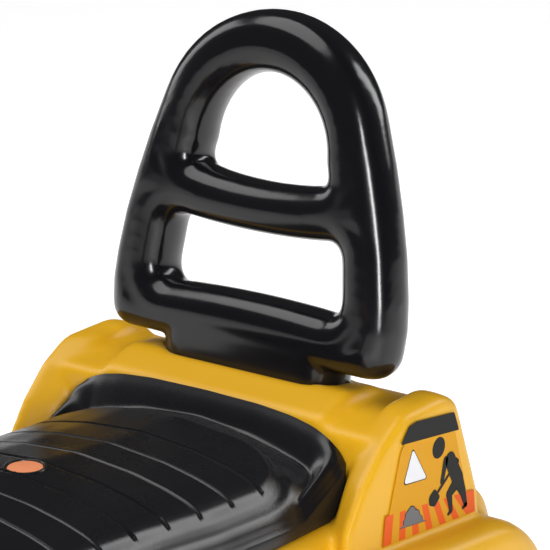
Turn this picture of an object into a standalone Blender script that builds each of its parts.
"""Ride-on digger for a small child.

A yellow moulded body on four free wheels, a black saddle, a plug-in hoop backrest, and a
hand-worked digging arm on a slewing turret at the front.  Metres, +Z up, the front is -Y and
the rider's left is +X.  Every piece is its own closed solid.
"""
import bpy
import bmesh
from math import acos, atan2, cos, pi, radians, sin, sqrt
from mathutils import Matrix, Vector

# ---------------------------------------------------------------- fits
GAP = 0.0003              # between pieces that touch
RUNNING = 0.0004          # round a pin or an axle that turns
SIDE_PLAY = 0.0010        # beside a piece that turns

# ---------------------------------------------------------------- wheels and axles
REAR_WHEEL_RADIUS = 0.072
REAR_WHEEL_WIDTH = 0.042
FRONT_WHEEL_RADIUS = 0.060
FRONT_WHEEL_WIDTH = 0.036
WHEELBASE = 0.430
AXLE_RADIUS = 0.004
WHEEL_WALL = 0.0045
WHEEL_ROUND = 0.006       # rounding of the tread's shoulders
WHEEL_BOSS_RADIUS = 0.013
HUB_DEPTH = 0.014         # how deep the hub cap sits in the wheel
HUB_SHARE = 0.66          # hub cap radius as a share of the wheel's
WHEEL_TO_BODY = 0.003     # side gap from body wall to wheel
WHEEL_SIDES = 28

# ---------------------------------------------------------------- body
BODY_HALF_WIDTH = 0.116
BODY_BOTTOM = 0.048
FRONT_OVERHANG = 0.098      # how far the body reaches ahead of the front axle
BODY_FRONT = -WHEELBASE - FRONT_OVERHANG
BODY_EDGE = 0.014         # rounding of the body's long edges
WALL = 0.004
BAY_HALF_WIDTH = BODY_HALF_WIDTH - 0.018    # body's half-width between the wheels
DECK_HEIGHT = 0.187       # the level that the saddle sits on
HOOD_HEIGHT = 0.208
HOOD_REAR = 0.058 - WHEELBASE
ARCH_CLEARANCE = 0.008    # round a wheel, inside its arch
REAR_FENDER_HALF_WIDTH = BODY_HALF_WIDTH + 0.034
FRONT_FENDER_WALL = 0.013
FRONT_FENDER_HALF_WIDTH = BODY_HALF_WIDTH + 0.025
FENDER_EDGE = 0.012
FENDER_DROP = 0.007       # how far the fenders reach below the body

# ---------------------------------------------------------------- crossbar, wings and stickers
BAR_FRONT = -0.040
BAR_TOP = 0.247
BAR_REAR = 0.058
BAR_DIP = 0.0085          # how much lower the crossbar is beside the hump
HUMP_HALF_WIDTH = 0.083
BAR_HALF_WIDTH = BODY_HALF_WIDTH - 0.002
WING_THICKNESS = 0.024
WING_REAR = 0.0590
WING_OUTSIDE = BODY_HALF_WIDTH + 0.012
WING_INSIDE = WING_OUTSIDE - WING_THICKNESS
WING_EDGE = 0.005
WING_SWEEP = 0.019        # how much further forward the wing's outside reaches
STICKER_THICKNESS = 0.0006

# ---------------------------------------------------------------- backrest
REST_TILT = radians(9)
REST_ORIGIN = Vector((0, 0, 0.300))   # on the hoop's front-edge plane, mid width
REST_FRONT_CROWN = 0.008  # how far the rounded front stands before that plane
REST_DEPTH = 0.030        # from that plane to the back
FOOT_HALF_WIDTH = 0.0640
FOOT_FRONT = -0.012
FOOT_BACK = 0.028
FOOT_PLUG = 0.034         # how deep the foot stands in the crossbar
FOOT_RISE = 0.018         # how far it overlaps the hoop's lower bar
REST_SCREW_SPACING = 0.080
REST_SCREW_HEIGHT = 0.222
REST_SCREW_SEAT = 0.040   # Y of the screw head's seat

# ---------------------------------------------------------------- saddle
SEAT_HALF_WIDTH = 0.102
SEAT_FRONT = -0.338
SEAT_CORNER = 0.014
SEAT_WALL = 0.005
SEAT_PILLAR_RADIUS = 0.015
SEAT_BOLT_Y = -0.198
SEAT_CAP_RADIUS = 0.010
SEAT_CAP_THICKNESS = 0.004
SEAT_BOLT_RADIUS = 0.003
SEAT_BOLT_HEAD_RADIUS = 0.0065
SEAT_BOLT_HEAD = 0.004
NUT_RADIUS = 0.0075
NUT_THICKNESS = 0.005

# ---------------------------------------------------------------- underbody pan
PAN_THICKNESS = 0.004
PAN_REAR = 0.080
PAN_SCREW_X = 0.070
PAN_SCREW_YS = (0.030, 0.130 - WHEELBASE)
PAN_BOSS_RADIUS = 0.007
PAN_CUP = 0.003           # how much deeper the pan is round a screw, whose head it hides
SCREW_RADIUS = 0.0021
SCREW_HEAD_RADIUS = 0.0042
SCREW_HEAD = 0.0026
SCREW_LENGTH = 0.018
SADDLE_RIB = 0.006

# ---------------------------------------------------------------- turret and arm
SLEW_Y = -WHEELBASE - 0.022
TURRET_RADIUS = 0.060
TURRET_THICKNESS = 0.012
SPIGOT_RADIUS = 0.018
SLEW_WASHER_RADIUS = 0.028
SLEW_WASHER = 0.004
CHEEK_INSIDE = 0.034
CHEEK_THICKNESS = 0.008
CHEEK_ROUND = 0.024
ARM_PIVOT = Vector((0, SLEW_Y - 0.010, 0.268))
BUCKET_PIVOT = Vector((0, SLEW_Y - 0.248, 0.152))
PIN_RADIUS = 0.005
PIN_HEAD_RADIUS = 0.009
PIN_HEAD = 0.004
BOOM_HALF_WIDTH = 0.014
LEVER_INSIDE = 0.016
LEVER_THICKNESS = 0.006
ROD_INSIDE = 0.024
ROD_THICKNESS = 0.005
LINK_REACH = 0.038        # lever arm from the pivot to the rod, the same at the bucket
LINK_PIN_RADIUS = 0.0035
LINK_EYE_RADIUS = 0.010
LEVER_ANGLE = radians(62) # both hand levers, up from straight back
LEVER_BEND = 0.058        # from the pivot to the lever's sideways step
GRIP_START = 0.068
GRIP_LENGTH = 0.092
GRIP_RADIUS = 0.014
GRIP_OFFSET = 0.032       # the grips' distance from the middle
STEM_RADIUS = 0.006
BUCKET_HALF_WIDTH = 0.068
BUCKET_WALL = 0.005
TOOTH_COUNT = 5
TOOTH_WIDTH = 0.014
TOOTH_LENGTH = 0.018
LUG_ROUND = 0.013

# ---------------------------------------------------------------- scene and materials


def clear_scene():
    for thing in list(bpy.data.objects):
        bpy.data.objects.remove(thing, do_unlink=True)


def plastic(name, colour, roughness, metallic=0.0):
    material = bpy.data.materials.new(name)
    material.use_nodes = True
    shader = material.node_tree.nodes["Principled BSDF"]
    shader.inputs["Base Color"].default_value = (*colour, 1.0)
    shader.inputs["Roughness"].default_value = roughness
    shader.inputs["Metallic"].default_value = metallic
    return material


def joint_empty(name, place, parent=None):
    """An empty on a joint's axis, which carries what turns with it."""
    empty = bpy.data.objects.new(name, None)
    bpy.context.collection.objects.link(empty)
    empty.parent = parent
    empty.location = place - (world_place(parent) if parent else Vector())
    return empty


def world_place(thing):
    place = Vector()
    while thing:
        place += thing.location
        thing = thing.parent
    return place


def put(name, mesh, material, parent, pivot=None):
    """Name a finished mesh, move its origin to its pivot and hang it on its parent."""
    origin = pivot if pivot is not None else world_place(parent)
    mesh.transform(Matrix.Translation(-origin))
    mesh.name = name
    mesh.materials.clear()
    mesh.materials.append(material)
    mesh.shade_smooth()
    mesh.set_sharp_from_angle(angle=radians(32))
    piece = bpy.data.objects.new(name, mesh)
    bpy.context.collection.objects.link(piece)
    piece.parent = parent
    piece.location = origin - world_place(parent)
    return piece


# ---------------------------------------------------------------- outlines


def fillet(corners, radius=0.0, steps=3):
    """A closed outline through the corners, each rounded; a corner may state its own radius."""
    outline = []
    count = len(corners)
    for index, corner in enumerate(corners):
        here = Vector(corner[:2])
        before = Vector(corners[index - 1][:2]) - here
        after = Vector(corners[(index + 1) % count][:2]) - here
        size = corner[2] if len(corner) > 2 else radius
        half = acos(max(-1.0, min(1.0, before.normalized().dot(after.normalized())))) / 2
        if size <= 0 or half > radians(88):
            outline.append(here)
            continue
        reach = min(size / abs(sin(half) / cos(half)), 0.49 * before.length, 0.49 * after.length)
        size = reach * sin(half) / cos(half)
        middle = here + (before.normalized() + after.normalized()).normalized() * size / sin(half)
        start = here + before.normalized() * reach - middle
        end = here + after.normalized() * reach - middle
        turn = start.angle_signed(end)
        for step in range(steps + 1):
            spin = -turn * step / steps
            outline.append(middle + Matrix.Rotation(spin, 2) @ start)
    return outline


def arc(centre, radius, start, end, steps):
    """Points on an arc, in degrees from the first axis towards the second."""
    angles = [radians(start + (end - start) * step / steps) for step in range(steps + 1)]
    return [Vector((centre[0] + radius * cos(a), centre[1] + radius * sin(a))) for a in angles]


def bow(start, end, rise, steps=8):
    """The points between two ends along a shallow bow, without the ends."""
    start, end = Vector(start), Vector(end)
    side = Vector((start.y - end.y, end.x - start.x)).normalized()
    shares = [step / steps for step in range(1, steps)]
    return [start.lerp(end, share) + side * rise * 4 * share * (1 - share) for share in shares]


def ring(centre, radius, sides, phase=0.0):
    return [Vector((centre[0] + radius * cos(2 * pi * k / sides + phase),
                    centre[1] + radius * sin(2 * pi * k / sides + phase))) for k in range(sides)]


def area(outline):
    return sum(a.x * b.y - b.x * a.y for a, b in zip(outline, outline[1:] + outline[:1])) / 2


def inset(outline, distance):
    """The outline moved into its own inside by the distance."""
    side = 1 if area(outline) > 0 else -1
    moved = []
    for index, here in enumerate(outline):
        before = (here - outline[index - 1]).normalized()
        after = (outline[(index + 1) % len(outline)] - here).normalized()
        first = Vector((-before.y, before.x)) * side
        second = Vector((-after.y, after.x)) * side
        normal = (first + second).normalized()
        moved.append(here + normal * distance / max(0.5, normal.dot(first)))
    return moved


# ---------------------------------------------------------------- solids

ALONG_X = Matrix(((0, 0, 1, 0), (1, 0, 0, 0), (0, 1, 0, 0), (0, 0, 0, 1)))   # outline in (Y, Z)
ALONG_Y = Matrix(((1, 0, 0, 0), (0, 0, 1, 0), (0, 1, 0, 0), (0, 0, 0, 1)))   # outline in (X, Z)
ALONG_Z = Matrix.Identity(4)                                                # outline in (X, Y)


def finish_mesh(bm, placing):
    bmesh.ops.transform(bm, matrix=placing, verts=bm.verts)
    bmesh.ops.recalc_face_normals(bm, faces=bm.faces)
    mesh = bpy.data.meshes.new("solid")
    bm.to_mesh(mesh)
    bm.free()
    return mesh


def layered(outlines, levels, placing):
    """A plate through levels of (inset, depth); the first outline is outside, others are holes."""
    bm = bmesh.new()
    ends = {0: [], len(levels) - 1: []}
    for number, outline in enumerate(outlines):
        rows = []
        for step_in, depth in levels:
            amount = step_in[min(number, 1)]
            points = inset(outline, amount if number == 0 else -amount) if amount else outline
            rows.append([bm.verts.new((p.x, p.y, depth)) for p in points])
        for lower, upper in zip(rows, rows[1:]):
            for k in range(len(lower)):
                bm.faces.new((lower[k - 1], lower[k], upper[k], upper[k - 1]))
        for end in ends:
            ends[end].append(rows[end])
    for loops in ends.values():
        if len(loops) == 1:
            bm.faces.new(loops[0])
        else:
            edges = [bm.edges.get((row[k - 1], row[k])) for row in loops for k in range(len(row))]
            bmesh.ops.triangle_fill(bm, use_beauty=True, use_dissolve=False, edges=edges)
    return finish_mesh(bm, placing)


def rounding(low, high, edge, inner_edge=None, steps=3):
    """Levels of a plate from low to high whose rims are rounded by quarter circles."""
    inner = edge if inner_edge is None else inner_edge
    share = [step / steps for step in range(steps + 1)] if edge else [1.0]
    levels = []
    for part in share:
        lift = 1 - sin(part * pi / 2)
        levels.append(((edge * lift, inner * lift), low + edge * (1 - cos(part * pi / 2))))
    return levels + [(amount, high + low - depth) for amount, depth in reversed(levels)]


def plate(outline, low, high, placing, edge=0.0, holes=(), inner_edge=0.0, steps=3):
    return layered([outline, *holes], rounding(low, high, edge, inner_edge, steps), placing)


def rod(centre, radius, low, high, placing, sides=16, edge=0.0):
    """A round bar whose centre is in the outline's plane."""
    return plate(ring(centre, radius, sides), low, high, placing, edge, steps=2)


def turned(profile, sides, placing):
    """A turned solid: the closed profile holds (along, radius) pairs; the axis is local Z."""
    bm = bmesh.new()
    rows = []
    for along, radius in profile:
        spots = 1 if radius <= 0 else sides
        rows.append([bm.verts.new((radius * cos(2 * pi * k / sides), radius * sin(2 * pi * k / sides),
                                   along)) for k in range(spots)])
    for first, second in zip(rows, rows[1:] + rows[:1]):
        for k in range(sides):
            corners = [first[k - 1] if len(first) > 1 else first[0],
                       first[k] if len(first) > 1 else None,
                       second[k] if len(second) > 1 else second[0],
                       second[k - 1] if len(second) > 1 else None]
            corners = [vert for vert in corners if vert is not None]
            if len(first) + len(second) > 2:
                bm.faces.new(corners)
    return finish_mesh(bm, placing)


def lofted(sections):
    """A solid through closed sections of equal point counts, capped at both ends."""
    bm = bmesh.new()
    rows = [[bm.verts.new(point) for point in section] for section in sections]
    for lower, upper in zip(rows, rows[1:]):
        for k in range(len(lower)):
            bm.faces.new((lower[k - 1], lower[k], upper[k], upper[k - 1]))
    bm.faces.new(rows[0])
    bm.faces.new(rows[-1])
    return finish_mesh(bm, Matrix.Identity(4))


def solve(base, others, operation):
    """The base joined with, or cut by, each of the others."""
    holder = bpy.data.objects.new("work", base)
    bpy.context.collection.objects.link(holder)
    helpers = []
    for mesh in others:
        helper = bpy.data.objects.new("helper", mesh)
        bpy.context.collection.objects.link(helper)
        modifier = holder.modifiers.new("solve", "BOOLEAN")
        modifier.operation = operation
        modifier.solver = "EXACT"
        modifier.object = helper
        helpers.append(helper)
    depsgraph = bpy.context.evaluated_depsgraph_get()
    result = bpy.data.meshes.new_from_object(holder.evaluated_get(depsgraph))
    for thing in [holder, *helpers]:
        bpy.data.objects.remove(thing, do_unlink=True)
    return result


def join(base, *others):
    return solve(base, others, "UNION")


def cut(base, *others):
    return solve(base, others, "DIFFERENCE")


def mirrored(mesh):
    """A copy of the mesh on the other side of the middle plane."""
    copy = mesh.copy()
    copy.transform(Matrix.Scale(-1, 4, Vector((1, 0, 0))))
    copy.flip_normals()
    return copy


# ---------------------------------------------------------------- places worked out from the sizes

REAR_AXLE = Vector((0, 0, REAR_WHEEL_RADIUS))
FRONT_AXLE = Vector((0, -WHEELBASE, FRONT_WHEEL_RADIUS))
PAN_TOP = BODY_BOTTOM + PAN_THICKNESS
BAY_INSIDE = BAY_HALF_WIDTH - WALL
REAR_ARCH_RADIUS = REAR_WHEEL_RADIUS + ARCH_CLEARANCE
FRONT_ARCH_RADIUS = FRONT_WHEEL_RADIUS + ARCH_CLEARANCE
FRONT_FENDER_RADIUS = FRONT_ARCH_RADIUS + FRONT_FENDER_WALL
SEAT_BASE = DECK_HEIGHT + GAP
ROD_LINE = (BUCKET_PIVOT - ARM_PIVOT).normalized()
LINK_OFFSET = Vector((0, ROD_LINE.z, -ROD_LINE.y)) * LINK_REACH
LEVER_LINK = ARM_PIVOT + LINK_OFFSET
BUCKET_LINK = BUCKET_PIVOT + LINK_OFFSET
LEVER_HEADING = Vector((0, cos(LEVER_ANGLE), sin(LEVER_ANGLE)))
CHEEK_OUTSIDE = CHEEK_INSIDE + CHEEK_THICKNESS
TURRET_BASE = HOOD_HEIGHT + GAP
REAR = Vector((0, 1, 0))


def flat(place):
    """A world place seen from the side, as (Y, Z)."""
    return Vector((place.y, place.z))


def pointing(place, heading):
    """The placing that puts local Z along the heading, from the place."""
    return Matrix.Translation(place) @ Vector((0, 0, 1)).rotation_difference(heading).to_matrix().to_4x4()


# ---------------------------------------------------------------- body


def tub_outline():
    return fillet([(0.098, BODY_BOTTOM, 0.020), (0.110, 0.105, 0.040), (0.092, 0.164, 0.030),
                   (0.052, DECK_HEIGHT, 0.030), (HOOD_REAR + 0.028, DECK_HEIGHT, 0.020),
                   (HOOD_REAR, HOOD_HEIGHT, 0.020), (BODY_FRONT + 0.024, HOOD_HEIGHT, 0.030),
                   (BODY_FRONT, 0.160, 0.040), (BODY_FRONT + 0.003, 0.090, 0.040),
                   (BODY_FRONT + 0.028, BODY_BOTTOM, 0.024)])


def bar_outline():
    """The crossbar from the side, as it is beside the hump."""
    return fillet([(BAR_FRONT, 0.160), (BAR_FRONT, BAR_TOP - 0.0132, 0.006),
                   (-0.012, BAR_TOP - BAR_DIP, 0.020), (0.018, BAR_TOP - 0.0082, 0.030),
                   (0.040, BAR_TOP - 0.012, 0.014), (BAR_REAR, 0.180, 0.020), (BAR_REAR, 0.160)])


def hump_outline():
    """The low rise on the crossbar that the backrest's foot stands in."""
    front = BAR_FRONT + 0.0008
    return fillet([(front, 0.205), (front, BAR_TOP - 0.009, 0.006), (-0.012, BAR_TOP, 0.020),
                   (0.018, BAR_TOP - 0.004, 0.030), (0.036, BAR_TOP - 0.014, 0.006), (0.036, 0.205)])


def wing_outline(share):
    """The wing from the side at a share of the way from its inner to its outer face."""
    sweep = WING_SWEEP * share
    drop = 0.0005 * share
    return fillet([(-0.062 - sweep, 0.150), (-0.062 - sweep, 0.183 + sweep / 3, 0.012),
                   (-0.048 - 0.8 * sweep, 0.210 + sweep / 4, 0.024),
                   (-0.029 - 0.8 * sweep, 0.234 - drop, 0.024), (-0.009 - 0.8 * sweep, 0.2455 - drop, 0.020),
                   (0.019, 0.2470 - drop, 0.020), (0.038 - sweep / 4, 0.2400 - 1.5 * drop, 0.012),
                   (WING_REAR, 0.175, 0.020), (WING_REAR, 0.150)])


def make_wing():
    """One of the two upright wings beside the backrest, its front swept outwards."""
    wide = WING_OUTSIDE - WING_INSIDE
    sections = []
    for (step_in, ignored), x in rounding(WING_INSIDE, WING_OUTSIDE, WING_EDGE, steps=2):
        points = inset(wing_outline((x - WING_INSIDE) / wide), step_in)
        sections.append([Vector((x, point.x, point.y)) for point in points])
    return lofted(sections)


def foot_outline(grow=0.0):
    wide = FOOT_HALF_WIDTH + grow
    return fillet([(-wide, FOOT_FRONT - grow), (wide, FOOT_FRONT - grow), (wide, FOOT_BACK + grow),
                   (-wide, FOOT_BACK + grow)], radius=0.019 + grow, steps=6)


def rear_fender():
    """The long, square-shouldered fender whose top the wing stands on."""
    low = BODY_BOTTOM - FENDER_DROP
    outline = fillet([(-0.119, low), (-0.112, 0.1755, 0.050), (0.106, 0.1570, 0.075), (0.116, low)],
                     steps=7)
    return plate(outline, BAY_HALF_WIDTH - 0.030, REAR_FENDER_HALF_WIDTH, ALONG_X, FENDER_EDGE, steps=2)


def front_fender():
    """A half disc over the front wheel."""
    top = arc(flat(FRONT_AXLE), FRONT_FENDER_RADIUS, 0, 180, 16)
    low = BODY_BOTTOM - FENDER_DROP
    base = [Vector((top[-1].x, low)), Vector((top[0].x, low))]
    return plate(top + base, BAY_HALF_WIDTH - 0.030, FRONT_FENDER_HALF_WIDTH, ALONG_X, FENDER_EDGE,
                 steps=2)


def make_body_shell(material, parent):
    """The yellow moulding: one open-bottomed shell with fenders, wings and crossbar."""
    tub = plate(tub_outline(), -BODY_HALF_WIDTH, BODY_HALF_WIDTH, ALONG_X, BODY_EDGE, steps=2)
    bar = plate(bar_outline(), -BAR_HALF_WIDTH, BAR_HALF_WIDTH, ALONG_X)
    hump = plate(hump_outline(), -HUMP_HALF_WIDTH, HUMP_HALF_WIDTH, ALONG_X, 0.004, steps=2)
    sides = [make_wing(), rear_fender(), front_fender()]
    shell = join(tub, bar, hump, *sides, *[mirrored(side) for side in sides])

    beyond = REAR_FENDER_HALF_WIDTH + 0.02
    arches = [rod(flat(REAR_AXLE), REAR_ARCH_RADIUS, BAY_HALF_WIDTH, beyond, ALONG_X, 40),
              rod(flat(FRONT_AXLE), FRONT_ARCH_RADIUS, BAY_HALF_WIDTH, beyond, ALONG_X, 36)]
    bay = plate(inset(tub_outline(), WALL), -BAY_INSIDE, BAY_INSIDE, ALONG_X)
    chest_half = BAY_INSIDE - 0.002
    chest = plate(inset(bar_outline(), WALL), -chest_half, chest_half, ALONG_X)
    mouth = plate([Vector((BODY_FRONT + 0.040, 0.02)), Vector((BODY_FRONT + 0.040, PAN_TOP + 0.004)),
                   Vector((PAN_REAR, PAN_TOP + 0.004)), Vector((PAN_REAR, 0.02))],
                  -BAY_INSIDE, BAY_INSIDE, ALONG_X)
    middle_rear = -REAR_ARCH_RADIUS - WALL
    middle_front = FRONT_AXLE.y + FRONT_ARCH_RADIUS + WALL
    middle_roof = DECK_HEIGHT - WALL - 0.001
    middle = plate(fillet([(middle_rear, PAN_TOP + 0.012), (middle_rear, middle_roof),
                           (middle_front, middle_roof), (middle_front, PAN_TOP + 0.012)],
                          radius=0.010), WALL - BODY_HALF_WIDTH, BODY_HALF_WIDTH - WALL, ALONG_X)
    shell = cut(shell, *arches, *[mirrored(arch) for arch in arches], bay, chest, mouth, middle)

    roofs = (BAR_TOP - BAR_DIP - WALL, DECK_HEIGHT - WALL / 2)
    socket = plate(foot_outline(WALL), BAR_TOP - FOOT_PLUG - WALL, BAR_TOP - 2 * WALL, ALONG_Z)
    lugs = [rod((x, REST_SCREW_HEIGHT), SCREW_HEAD_RADIUS + WALL, FOOT_BACK, REST_SCREW_SEAT + WALL,
                ALONG_Y) for x in (-REST_SCREW_SPACING / 2, REST_SCREW_SPACING / 2)]
    bosses = [socket, *lugs]
    bosses += [rod((x, y), PAN_BOSS_RADIUS, PAN_TOP + PAN_CUP + GAP, roof, ALONG_Z)
               for x in (-PAN_SCREW_X, PAN_SCREW_X) for y, roof in zip(PAN_SCREW_YS, roofs)]
    shell = join(shell, *bosses)
    holes = [rod((x, y), SCREW_RADIUS + GAP, BODY_BOTTOM, PAN_TOP + SCREW_LENGTH, ALONG_Z, 12)
             for x in (-PAN_SCREW_X, PAN_SCREW_X) for y in PAN_SCREW_YS]
    holes += [rod(flat(axle), AXLE_RADIUS + GAP, -beyond, beyond, ALONG_X)
              for axle in (REAR_AXLE, FRONT_AXLE)]
    holes.append(plate(foot_outline(GAP), BAR_TOP - FOOT_PLUG - GAP, BAR_TOP + 0.05, ALONG_Z))
    for x in (-REST_SCREW_SPACING / 2, REST_SCREW_SPACING / 2):
        spot = (x, REST_SCREW_HEIGHT)
        holes.append(rod(spot, SCREW_RADIUS + GAP, 0, REST_SCREW_SEAT + 0.01, ALONG_Y, 12))
        holes.append(rod(spot, SCREW_HEAD_RADIUS + 0.0015, REST_SCREW_SEAT, 0.08, ALONG_Y, 16))
    holes.append(rod((0, SEAT_BOLT_Y), SEAT_BOLT_RADIUS + GAP, 0.15, DECK_HEIGHT + 0.01, ALONG_Z, 12))
    holes.append(rod((0, SLEW_Y), SPIGOT_RADIUS + RUNNING, 0.15, HOOD_HEIGHT + 0.01, ALONG_Z, 24))
    put("body_shell", cut(shell, *holes), material, parent)


def make_pan(material, steel, parent):
    """The plate that closes the body's underside, with ribs that hold the axles up."""
    wide = BAY_INSIDE - GAP
    front, rear = BODY_FRONT + 0.040 + GAP, PAN_REAR - GAP
    outline = fillet([(-wide, front), (wide, front), (wide, rear), (-wide, rear)])
    spots = [(x, y) for x in (-PAN_SCREW_X, PAN_SCREW_X) for y in PAN_SCREW_YS]
    cup_top = PAN_TOP + PAN_CUP
    head_seat = BODY_BOTTOM + PAN_CUP
    below = BODY_BOTTOM - 0.001
    pan = plate(outline, BODY_BOTTOM, PAN_TOP, ALONG_Z)
    ribs = [rod(spot, PAN_BOSS_RADIUS, PAN_TOP - 0.001, cup_top, ALONG_Z) for spot in spots]
    for axle in (REAR_AXLE, FRONT_AXLE):
        top = axle.z - AXLE_RADIUS - GAP
        corners = [(axle.y - 0.014, PAN_TOP - 0.001), (axle.y + 0.014, PAN_TOP - 0.001),
                   (axle.y + 0.007, top), (axle.y - 0.007, top)]
        side = plate(fillet(corners), 0.055, 0.055 + SADDLE_RIB, ALONG_X)
        ribs += [side, mirrored(side)]
    holes = [rod(spot, SCREW_HEAD_RADIUS + GAP, below, head_seat + GAP, ALONG_Z) for spot in spots]
    holes += [rod(spot, SCREW_RADIUS + GAP, below, cup_top + 0.001, ALONG_Z, 12) for spot in spots]
    put("underbody_pan", cut(join(pan, *ribs), *holes), material, parent)

    names = ("rear_right", "front_right", "rear_left", "front_left")
    length = PAN_THICKNESS - PAN_CUP + SCREW_LENGTH - 0.002
    for name, (x, y) in zip(names, spots):
        put("pan_screw_" + name, screw(Vector((x, y, head_seat)), Vector((0, 0, 1)), length), steel,
            parent)


def screw(place, heading, length, radius=SCREW_RADIUS, head_radius=SCREW_HEAD_RADIUS,
          head=SCREW_HEAD):
    """A screw whose head's underside is at the place; its shank runs along the heading."""
    profile = [(length, 0), (length, radius), (0, radius), (0, head_radius),
               (-head, head_radius * 0.8), (-head, 0)]
    return turned(profile, 10, pointing(place, heading))


def make_sticker(name, side, material, parent):
    corners = [(-0.044, 0.173), (-0.027, 0.226, 0.012), (-0.016, 0.2365, 0.008), (0.024, 0.2335),
               (0.046, 0.166)]
    low = WING_OUTSIDE + GAP
    mesh = plate(fillet(corners), low, low + STICKER_THICKNESS, ALONG_X)
    put(name, mesh if side > 0 else mirrored(mesh), material, parent)


# ---------------------------------------------------------------- saddle

SEAT_SHARES = (0.0, 0.40, 0.64, 0.87, 0.955, 1.0)      # of the half-width
PAD_FALLS = (0.0, 0.0035, 0.0080, 0.0130, 0.0170, 0.0250)
LIP_FALLS = (0.0, 0.0005, 0.0020, 0.0075, 0.0130, 0.0200)
LIP_FRONT = -0.0470
CROWN = ((-0.0405, 0.238), (-0.0425, 0.2400), (-0.0450, 0.2385), (LIP_FRONT, 0.221),
         (-0.0560, 0.2195), (-0.0585, 0.2290), (-0.0610, 0.2310), (-0.0750, 0.2310), (-0.101, 0.231),
         (-0.150, 0.2335), (-0.198, 0.239),
         (-0.260, 0.2435), (-0.305, 0.2450), (-0.322, 0.2380), (-0.333, 0.2220), (SEAT_FRONT, 0.205))


def seat_half_width(y):
    """Full width along the flanks, drawn in round both ends."""
    rear_in = max(0.0, y - CROWN[0][0] + SEAT_CORNER) / SEAT_CORNER
    front_in = max(0.0, SEAT_FRONT + 0.030 - y) / 0.030
    drawn = 0.002 * rear_in ** 2 + 0.022 * front_in ** 2
    return SEAT_HALF_WIDTH - drawn


def seat_section(y, crown, half_width, base):
    """One slice across the saddle: a crowned top that turns down at both flanks."""
    falls = LIP_FALLS if y > LIP_FRONT else PAD_FALLS
    top = [(share * half_width, crown - fall) for share, fall in zip(SEAT_SHARES, falls)]
    right = [Vector((x, y, max(z, base + 0.003))) for x, z in top]
    left = [Vector((-point.x, y, point.z)) for point in reversed(right[1:])]
    return [Vector((-half_width, y, base)), *left, *right, Vector((half_width, y, base))]


def crown_at(y):
    for (y0, z0), (y1, z1) in zip(CROWN, CROWN[1:]):
        if y1 <= y <= y0:
            return z0 + (z1 - z0) * (y - y0) / (y1 - y0)
    raise ValueError("outside the saddle")


def make_seat(black, orange, steel, parent):
    """The saddle, hollow underneath round the pillar that its bolt runs down."""
    solid = lofted([seat_section(y, z, seat_half_width(y), SEAT_BASE) for y, z in CROWN])
    inner = [(y, z) for y, z in CROWN if SEAT_FRONT + 0.010 < y < -0.070]
    hollow = lofted([seat_section(y, z - SEAT_WALL, seat_half_width(y) - SEAT_WALL, SEAT_BASE - 0.01)
                     for y, z in inner])
    spot = (0, SEAT_BOLT_Y)
    pillar = rod(spot, SEAT_PILLAR_RADIUS, SEAT_BASE - 0.02, 0.30, ALONG_Z, 20)
    cap_top = crown_at(SEAT_BOLT_Y) - 0.0005
    cap_bottom = cap_top - SEAT_CAP_THICKNESS
    head_bottom = cap_bottom - GAP - 2 * SEAT_BOLT_HEAD
    cuts = [cut(hollow, pillar),
            rod(spot, SEAT_CAP_RADIUS + GAP, cap_bottom - GAP, 0.30, ALONG_Z, 24),
            rod(spot, SEAT_BOLT_HEAD_RADIUS + GAP, head_bottom - GAP, 0.30, ALONG_Z, 16),
            rod(spot, SEAT_BOLT_RADIUS + GAP, SEAT_BASE - 0.01, 0.30, ALONG_Z, 12)]
    put("seat", cut(solid, *cuts), black, parent)
    put("seat_bolt_cap", rod(spot, SEAT_CAP_RADIUS, cap_bottom, cap_top, ALONG_Z, 24, 0.0006),
        orange, parent)
    nut_top = DECK_HEIGHT - WALL - GAP
    end = nut_top - NUT_THICKNESS - 0.002
    put("seat_bolt", screw(Vector((0, SEAT_BOLT_Y, head_bottom)), Vector((0, 0, -1)),
                           head_bottom - end, SEAT_BOLT_RADIUS, SEAT_BOLT_HEAD_RADIUS, SEAT_BOLT_HEAD),
        steel, parent)
    put("seat_bolt_nut", plate(ring(spot, NUT_RADIUS, 6), nut_top - NUT_THICKNESS, nut_top, ALONG_Z,
                               holes=[ring(spot, SEAT_BOLT_RADIUS + GAP, 12)]), steel, parent)


# ---------------------------------------------------------------- backrest


def hoop_outlines():
    """The hoop's outside and its two openings, as (across, up) on its front-edge plane."""
    top = arc((0, 0.0772), 0.0795, 18, 162, 22)
    flank = [(-0.0848, 0.075), (-0.0920, 0.050), (-0.0980, 0.025), (-0.1020, 0.0), (-0.1034, -0.018),
             (-0.1010, -0.047, 0.036)]
    outside = fillet([*top, *flank, *[(-corner[0], *corner[1:]) for corner in reversed(flank)]],
                     steps=7)
    upper = fillet([*arc((0, 0.0732), 0.0480, 0, 180, 18), (-0.0518, 0.0596, 0.011),
                    *bow((-0.044, 0.0578), (0.044, 0.0578), -0.0035),
                    (0.0518, 0.0596, 0.011)], steps=4)
    lower = fillet([(-0.0695, -0.0158, 0.012), *bow((-0.060, -0.0150), (0.060, -0.0150), 0.0022),
                    (0.0695, -0.0158, 0.012), (0.0640, 0.0305, 0.011),
                    *bow((0.054, 0.0292), (-0.054, 0.0292), 0.0028),
                    (-0.0640, 0.0305, 0.011)], steps=4)
    return [outside, upper, lower]


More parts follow.
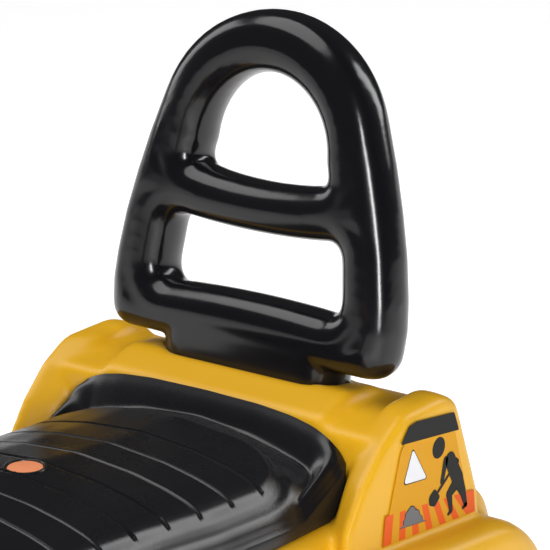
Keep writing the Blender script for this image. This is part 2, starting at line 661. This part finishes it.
def make_backrest(black, steel, parent):
    """The hoop with two openings, one moulding with the foot that plugs into the crossbar."""
    across = Vector((1, 0, 0))
    up = Vector((0, sin(REST_TILT), cos(REST_TILT)))
    back = Vector((0, cos(REST_TILT), -sin(REST_TILT)))
    placing = Matrix.Translation(REST_ORIGIN) @ Matrix((across, up, back)).transposed().to_4x4()
    front, rear = -REST_FRONT_CROWN, REST_DEPTH
    levels = [((0.0150, 0.0120), front), ((0.0095, 0.0065), 0.8 * front), ((0.0048, 0.0025), 0.4 * front),
              ((0.0018, 0.0), 0.0), ((0.0, -0.0015), 0.28 * rear), ((0.0, -0.0012), 0.50 * rear),
              ((0.0018, 0.0003), 0.70 * rear), ((0.0052, 0.0025), 0.87 * rear), ((0.0110, 0.0060), rear)]
    hoop = layered(hoop_outlines(), levels, placing)
    foot = plate(foot_outline(), BAR_TOP - FOOT_PLUG, REST_ORIGIN.z - 0.047 + FOOT_RISE, ALONG_Z, 0.003)
    holes = [rod((x, REST_SCREW_HEIGHT), SCREW_RADIUS + GAP, 0.010, 0.06, ALONG_Y, 12)
             for x in (-REST_SCREW_SPACING / 2, REST_SCREW_SPACING / 2)]
    put("backrest", cut(join(hoop, foot), *holes), black, parent)
    for name, x in (("right", -REST_SCREW_SPACING / 2), ("left", REST_SCREW_SPACING / 2)):
        place = Vector((x, REST_SCREW_SEAT + GAP, REST_SCREW_HEIGHT))
        put("backrest_screw_" + name, screw(place, -REAR, 0.028), steel, parent)


# ---------------------------------------------------------------- wheels


def make_axle(name, axle, wheel_width, steel, parent):
    reach = wheel_middle(wheel_width) + wheel_width / 2 - HUB_DEPTH / 2
    put(name, rod(flat(axle), AXLE_RADIUS, -reach, reach, ALONG_X, 16, 0.0008), steel, parent)


def wheel_middle(width):
    return BAY_HALF_WIDTH + WHEEL_TO_BODY + width / 2


def make_wheel(name, side, axle, radius, width, materials, parent):
    """A hollow-backed wheel, its hub cap, and the push nut that holds it on the axle."""
    black, yellow, steel = materials
    half = width / 2
    web = half - HUB_DEPTH
    hub = HUB_SHARE * radius
    bore = AXLE_RADIUS + RUNNING
    nut_low = half - HUB_DEPTH + 0.0025
    place = Vector((side * wheel_middle(width), axle.y, axle.z))
    placing = Matrix.Translation(place) @ Matrix.Rotation(side * pi / 2, 4, "Y")
    spin = joint_empty(name + "_axis", place, parent)
    profile = [(-half, bore), (-half, WHEEL_BOSS_RADIUS), (web - WHEEL_WALL, WHEEL_BOSS_RADIUS),
               (web - WHEEL_WALL, radius - 2 * WHEEL_WALL), (-half, radius - 2 * WHEEL_WALL),
               (-half, radius - WHEEL_ROUND), (-half + WHEEL_ROUND, radius),
               (half - WHEEL_ROUND, radius), (half, radius - WHEEL_ROUND),
               (half, hub), (web, hub), (web, WHEEL_BOSS_RADIUS),
               (nut_low - GAP, WHEEL_BOSS_RADIUS), (nut_low - GAP, bore)]
    put(name, turned(profile, WHEEL_SIDES, placing), black, spin)
    rim = hub - 2 * GAP
    cap = [(web + GAP, rim), (half - 0.006, rim), (half - 0.002, 0.80 * rim), (half - 0.001, 0),
           (half - 0.004, 0), (half - 0.005, 0.78 * rim), (half - 0.008, rim - 0.003),
           (web + GAP, rim - 0.003)]
    put(name.replace("wheel", "hub_cap"), turned(cap, 24, placing), yellow, spin)
    nut = [(nut_low, AXLE_RADIUS + GAP), (nut_low, 0.0085), (nut_low + 0.002, 0.0085),
           (nut_low + 0.004, 0.0060), (nut_low + 0.004, AXLE_RADIUS + GAP)]
    put(name.replace("wheel", "push_nut"), turned(nut, 12, placing), steel, parent, place)


# ---------------------------------------------------------------- turret


def make_turret(black, steel, body):
    """The slewing turret: a round base with two cheeks, held down by a washer under the hood."""
    slew = joint_empty("slew_axis", Vector((0, SLEW_Y, TURRET_BASE)), body)
    top = TURRET_BASE + TURRET_THICKNESS
    spigot_end = HOOD_HEIGHT - WALL - SIDE_PLAY
    base = plate(ring((0, SLEW_Y), TURRET_RADIUS, 28), TURRET_BASE, top, ALONG_Z, 0.003, steps=2)
    spigot = rod((0, SLEW_Y), SPIGOT_RADIUS, spigot_end, TURRET_BASE + 0.002, ALONG_Z, 24)
    pivot = flat(ARM_PIVOT)
    outline = [Vector((pivot.x + 0.038, top - 0.002)), *arc(pivot, CHEEK_ROUND, 0, 180, 10),
               Vector((pivot.x - 0.036, top - 0.002))]
    cheek = plate(outline, CHEEK_INSIDE, CHEEK_OUTSIDE, ALONG_X, 0.0015,
                  holes=[ring(pivot, PIN_RADIUS + GAP, 16)], steps=1)
    turret = join(base, spigot, cheek, mirrored(cheek))
    shank = rod((0, SLEW_Y), SEAT_BOLT_RADIUS + GAP, 0.15, TURRET_BASE + 0.008, ALONG_Z, 12)
    put("turret", cut(turret, shank), black, slew)
    washer_top = spigot_end - GAP
    washer_low = washer_top - SLEW_WASHER
    put("slew_washer", plate(ring((0, SLEW_Y), SLEW_WASHER_RADIUS, 20), washer_low, washer_top, ALONG_Z,
                             holes=[ring((0, SLEW_Y), SEAT_BOLT_RADIUS + GAP, 12)]), black, slew)
    put("slew_bolt", screw(Vector((0, SLEW_Y, washer_low - GAP)), Vector((0, 0, 1)), 0.016,
                           SEAT_BOLT_RADIUS, SEAT_BOLT_HEAD_RADIUS, SEAT_BOLT_HEAD), steel, slew)
    put("arm_pin", headed_pin(pivot, -CHEEK_OUTSIDE, CHEEK_OUTSIDE + 0.0030), steel, slew, ARM_PIVOT)
    put("arm_pin_cap", pin_cap(pivot, CHEEK_OUTSIDE + GAP, CHEEK_OUTSIDE + 0.0050), black, slew,
        ARM_PIVOT)
    spacers = (("left", LEVER_INSIDE + LEVER_THICKNESS + SIDE_PLAY, CHEEK_INSIDE - GAP),
               ("right", GAP - CHEEK_INSIDE, -BOOM_HALF_WIDTH - GAP - LEVER_THICKNESS - SIDE_PLAY))
    for name, low, high in spacers:
        put("arm_spacer_" + name, plate(ring(pivot, 0.009, 16), low, high, ALONG_X,
                                        holes=[ring(pivot, PIN_RADIUS + GAP, 16)]), black, slew,
            ARM_PIVOT)
    return slew


def headed_pin(centre, low, high, radius=PIN_RADIUS, head_radius=PIN_HEAD_RADIUS):
    """A pin across the arm, from its head's inner face at low to its plain end at high."""
    place = Vector((low - GAP, centre.x, centre.y))
    return screw(place, Vector((1, 0, 0)), high - low + GAP, radius, head_radius, PIN_HEAD)


def pin_cap(centre, low, high, radius=PIN_RADIUS, cap_radius=PIN_HEAD_RADIUS):
    """A cap pushed over a pin's plain end."""
    profile = [(0, radius + GAP), (0, cap_radius), (high - low - 0.0008, cap_radius),
               (high - low + 0.0008, cap_radius * 0.75), (high - low + 0.0008, 0),
               (high - low - 0.0012, 0), (high - low - 0.0012, radius + GAP)]
    return turned(profile, 16, pointing(Vector((low, centre.x, centre.y)), Vector((1, 0, 0))))


# ---------------------------------------------------------------- arm


def crank(hub, hub_radius, ends):
    """The outline of a crank: a hub with arms to the (place, radius) ends, in turning order."""
    headings = [atan2((place - hub).y, (place - hub).x) * 180 / pi for place, radius in ends]
    outline = []
    for index, (place, radius) in enumerate(ends):
        outline += arc(place, radius, headings[index] - 90, headings[index] + 90, 8)
        if index + 1 < len(ends):
            middle = radians((headings[index] + headings[index + 1]) / 2)
            outline.append(hub + Vector((cos(middle), sin(middle))) * hub_radius * 1.15)
    return outline + arc(hub, hub_radius, headings[-1] + 90, headings[0] + 270, 12)


def strap(start, end, radius):
    heading = atan2((end - start).y, (end - start).x) * 180 / pi
    return (arc(end, radius, heading - 90, heading + 90, 8)
            + arc(start, radius, heading + 90, heading + 270, 8))


def hand_lever(side, tail, low, tail_radius, holes):
    """A lever plate from x = low, with its stepped stem for a grip; side is the stem's side."""
    pivot = flat(ARM_PIVOT)
    bend = ARM_PIVOT + LEVER_HEADING * LEVER_BEND
    outline = crank(pivot, 0.016, [(flat(bend), 0.009), (tail, tail_radius)])
    body = plate(outline, low, low + LEVER_THICKNESS, ALONG_X, 0.001, steps=1,
                 holes=[ring(pivot, PIN_RADIUS + RUNNING, 16), *holes])
    inner = low + LEVER_THICKNESS / 2
    outer = side * (GRIP_OFFSET + STEM_RADIUS + 0.001)
    step = rod(flat(bend), 0.0072, min(inner, outer), max(inner, outer), ALONG_X, 12)
    foot = ARM_PIVOT + LEVER_HEADING * (LEVER_BEND - 0.004) + Vector((side * GRIP_OFFSET, 0, 0))
    stem = turned([(0, 0), (0, STEM_RADIUS), (GRIP_START + GRIP_LENGTH - LEVER_BEND - 0.006, STEM_RADIUS),
                   (GRIP_START + GRIP_LENGTH - LEVER_BEND - 0.004, 0)], 12, pointing(foot, LEVER_HEADING))
    return join(body, step, stem)


def hand_grip(side):
    """A ribbed sleeve, closed at the top, pushed over a lever's stem."""
    bore = STEM_RADIUS + GAP
    profile = [(0, bore), (0, GRIP_RADIUS + 0.003), (0.004, GRIP_RADIUS + 0.003)]
    ribs = 3
    pitch = (GRIP_LENGTH - 0.020) / ribs
    for rib in range(ribs):
        start = 0.006 + rib * pitch
        profile += [(start, GRIP_RADIUS - 0.0015), (start + 0.35 * pitch, GRIP_RADIUS)]
    profile += [(GRIP_LENGTH - 0.012, GRIP_RADIUS - 0.0015), (GRIP_LENGTH - 0.006, GRIP_RADIUS + 0.002),
                (GRIP_LENGTH + 0.003, GRIP_RADIUS * 0.8), (GRIP_LENGTH + 0.006, 0),
                (GRIP_LENGTH, 0), (GRIP_LENGTH, bore)]
    foot = ARM_PIVOT + LEVER_HEADING * GRIP_START + Vector((side * GRIP_OFFSET, 0, 0))
    return turned(profile, 14, pointing(foot, LEVER_HEADING))


ELBOW = Vector((ARM_PIVOT.y - 0.128, 0.322))     # of the boom's middle line


def boom_outline():
    """From the pivot up to the elbow and down to the bucket's pivot."""
    pivot, tip, elbow = flat(ARM_PIVOT), flat(BUCKET_PIVOT), ELBOW
    root, end = 0.022, 0.013
    first = atan2((elbow - pivot).y, (elbow - pivot).x) * 180 / pi
    second = atan2((tip - elbow).y, (tip - elbow).x) * 180 / pi % 360
    bisector = radians((first + second) / 2)
    lift = Vector((cos(bisector - pi / 2), sin(bisector - pi / 2)))
    outer = elbow + lift * 0.026
    inner = elbow - lift * 0.024
    return fillet([*arc(pivot, root, first + 90, first + 270, 10), (outer.x, outer.y, 0.045),
                   *arc(tip, end, second - 90, second + 90, 8), (inner.x, inner.y, 0.020)], steps=6)


def boom_screw_spots():
    heading = (ELBOW - flat(ARM_PIVOT)).normalized()
    return [flat(ARM_PIVOT) + heading * reach for reach in (0.026, 0.046)]


def make_boom(yellow, black, steel, slew):
    """The boom with its own hand lever screwed to its right side."""
    axis = joint_empty("boom_axis", ARM_PIVOT, slew)
    depth = 0.012
    screw_holes = [rod(spot, SCREW_RADIUS + GAP, -0.05, depth - BOOM_HALF_WIDTH, ALONG_X, 12)
                   for spot in boom_screw_spots()]
    boom = plate(boom_outline(), -BOOM_HALF_WIDTH, BOOM_HALF_WIDTH, ALONG_X, 0.004,
                 holes=[ring(flat(ARM_PIVOT), PIN_RADIUS + RUNNING, 16),
                        ring(flat(BUCKET_PIVOT), LINK_PIN_RADIUS + RUNNING, 16)], steps=2)
    put("boom", cut(boom, *screw_holes), yellow, axis)
    low = -BOOM_HALF_WIDTH - GAP - LEVER_THICKNESS
    tail = boom_screw_spots()[-1]
    lever = hand_lever(-1, tail, low, 0.009, [ring(spot, SCREW_RADIUS + GAP, 12)
                                             for spot in boom_screw_spots()])
    put("boom_lever", lever, black, axis)
    put("boom_grip", hand_grip(-1), black, axis)
    for name, spot in zip(("rear", "front"), boom_screw_spots()):
        place = Vector((low - GAP, spot.x, spot.y))
        put("boom_lever_screw_" + name, screw(place, Vector((1, 0, 0)), LEVER_THICKNESS + depth - 0.002),
            steel, axis)
    return axis


def make_bucket_lever(black, steel, boom_axis):
    """The second hand lever, which turns on the boom's pin and works the bucket."""
    axis = joint_empty("bucket_lever_axis", ARM_PIVOT, boom_axis)
    link = flat(LEVER_LINK)
    lever = hand_lever(1, link, LEVER_INSIDE, LINK_EYE_RADIUS, [ring(link, LINK_PIN_RADIUS + GAP, 12)])
    put("bucket_lever", lever, black, axis)
    put("bucket_grip", hand_grip(1), black, axis)
    put("lever_link_pin", link_pin(link), steel, axis, LEVER_LINK)
    return axis


def link_pin(centre):
    """A short pin through a lever or lug and the rod, its head outside the rod."""
    place = Vector((ROD_INSIDE + ROD_THICKNESS + GAP, centre.x, centre.y))
    return screw(place, Vector((-1, 0, 0)), place.x - LEVER_INSIDE, LINK_PIN_RADIUS, 0.006, 0.0022)


def make_link_rod(steel, lever_axis):
    axis = joint_empty("link_rod_axis", LEVER_LINK, lever_axis)
    ends = [flat(LEVER_LINK), flat(BUCKET_LINK)]
    holes = [ring(end, LINK_PIN_RADIUS + RUNNING, 12) for end in ends]
    put("link_rod", plate(strap(*ends, 0.008), ROD_INSIDE, ROD_INSIDE + ROD_THICKNESS, ALONG_X, 0.0008,
                          holes=holes, steps=1), steel, axis)


BUCKET_LIP = Vector((BUCKET_PIVOT.y + 0.045, 0.014))


def bucket_outline():
    """From the mouth's top over the curved back to the lip."""
    back = [(0.032, 0.118), (0.0, 0.132, 0.020), (-0.042, 0.120, 0.024), (-0.064, 0.080, 0.040),
            (-0.052, 0.034, 0.034), (-0.016, 0.015, 0.030)]
    corners = [(BUCKET_PIVOT.y + ahead, *rest) for ahead, *rest in back]
    return fillet([*corners, tuple(BUCKET_LIP)], steps=4)


def make_bucket(black, steel, boom_axis):
    """The digging bucket: a curved back between two sides, teeth, and lugs for both pivots."""
    axis = joint_empty("bucket_axis", BUCKET_PIVOT, boom_axis)
    outline = bucket_outline()
    body = plate(outline, -BUCKET_HALF_WIDTH, BUCKET_HALF_WIDTH, ALONG_X, 0.0015, steps=1)
    pivot, link = flat(BUCKET_PIVOT), flat(BUCKET_LINK)
    foot_rear, foot_front = pivot + Vector((0.028, -0.033)), pivot + Vector((-0.036, -0.032))
    pin_hole = ring(pivot, LINK_PIN_RADIUS + GAP, 16)
    right = [foot_rear, *arc(pivot, LUG_ROUND, 0, 180, 10), foot_front]
    left = [foot_rear, *arc(pivot, LUG_ROUND, 0, 20, 2), *arc(link, LINK_EYE_RADIUS, -10, 180, 10),
            foot_front]
    high = LEVER_INSIDE + LEVER_THICKNESS
    lugs = [plate(right, -high, -LEVER_INSIDE, ALONG_X, holes=[pin_hole]),
            plate(left, LEVER_INSIDE, high, ALONG_X,
                  holes=[pin_hole, ring(link, LINK_PIN_RADIUS + GAP, 12)])]
    lip_y, lip_z = BUCKET_LIP
    tooth = [Vector((lip_y - 0.012, lip_z + 0.001)), Vector((lip_y - 0.012, lip_z + 0.0060)),
             Vector((lip_y + TOOTH_LENGTH, lip_z - 0.001)), Vector((lip_y + TOOTH_LENGTH, lip_z - 0.004)),
             Vector((lip_y - 0.002, lip_z - 0.002))]
    pitch = 2 * (BUCKET_HALF_WIDTH - TOOTH_WIDTH / 2 - 0.003) / (TOOTH_COUNT - 1)
    teeth = []
    for number in range(TOOTH_COUNT):
        middle = (number - (TOOTH_COUNT - 1) / 2) * pitch
        teeth.append(plate(tooth, middle - TOOTH_WIDTH / 2, middle + TOOTH_WIDTH / 2, ALONG_X))
    inner = inset(outline, BUCKET_WALL)
    mouth = Vector((0.04, 0))
    pocket = plate([inner[0] + mouth, *inner, inner[-1] + mouth], BUCKET_WALL - BUCKET_HALF_WIDTH,
                   BUCKET_HALF_WIDTH - BUCKET_WALL, ALONG_X)
    put("bucket", join(cut(join(body, *lugs), pocket), *teeth), black, axis)
    put("bucket_pin", headed_pin(pivot, -high, high + 0.002, LINK_PIN_RADIUS, 0.007), steel, axis,
        BUCKET_PIVOT)
    put("bucket_pin_cap", pin_cap(pivot, high + GAP, high + 0.0035, LINK_PIN_RADIUS, 0.007), black,
        axis, BUCKET_PIVOT)
    put("bucket_link_pin", link_pin(link), steel, axis, BUCKET_LINK)


# ---------------------------------------------------------------- assembly


def stand_on_origin(root):
    """Move the whole model so that its box is centred on the origin and stands on Z = 0."""
    bpy.context.view_layer.update()
    corners = [piece.matrix_world @ Vector(corner) for piece in bpy.data.objects
               if piece.type == "MESH" for corner in piece.bound_box]
    low = [min(corner[k] for corner in corners) for k in range(3)]
    high = [max(corner[k] for corner in corners) for k in range(3)]
    root.location = (-(low[0] + high[0]) / 2, -(low[1] + high[1]) / 2, -low[2])


def main():
    clear_scene()
    yellow = plastic("yellow_plastic", (0.76, 0.40, 0.025), 0.32)
    black = plastic("black_plastic", (0.022, 0.022, 0.026), 0.22)
    wheel_black = plastic("wheel_plastic", (0.025, 0.025, 0.027), 0.55)
    orange = plastic("orange_plastic", (0.86, 0.28, 0.12), 0.40)
    sticker = plastic("printed_film", (0.68, 0.36, 0.02), 0.35)
    steel = plastic("zinc_steel", (0.55, 0.55, 0.56), 0.35, 1.0)

    root = joint_empty("digger", Vector())
    make_body_shell(yellow, root)
    make_pan(black, steel, root)
    make_sticker("sticker_left", 1, sticker, root)
    make_sticker("sticker_right", -1, sticker, root)
    make_seat(black, orange, steel, root)
    make_backrest(black, steel, root)
    make_axle("rear_axle", REAR_AXLE, REAR_WHEEL_WIDTH, steel, root)
    make_axle("front_axle", FRONT_AXLE, FRONT_WHEEL_WIDTH, steel, root)
    for end, axle, radius, width in (("rear", REAR_AXLE, REAR_WHEEL_RADIUS, REAR_WHEEL_WIDTH),
                                     ("front", FRONT_AXLE, FRONT_WHEEL_RADIUS, FRONT_WHEEL_WIDTH)):
        for name, side in (("left", 1), ("right", -1)):
            make_wheel(f"{end}_{name}_wheel", side, axle, radius, width, (wheel_black, yellow, steel),
                       root)
    slew = make_turret(black, steel, root)
    boom_axis = make_boom(yellow, black, steel, slew)
    lever_axis = make_bucket_lever(black, steel, boom_axis)
    make_link_rod(steel, lever_axis)
    make_bucket(black, steel, boom_axis)
    stand_on_origin(root)


main()
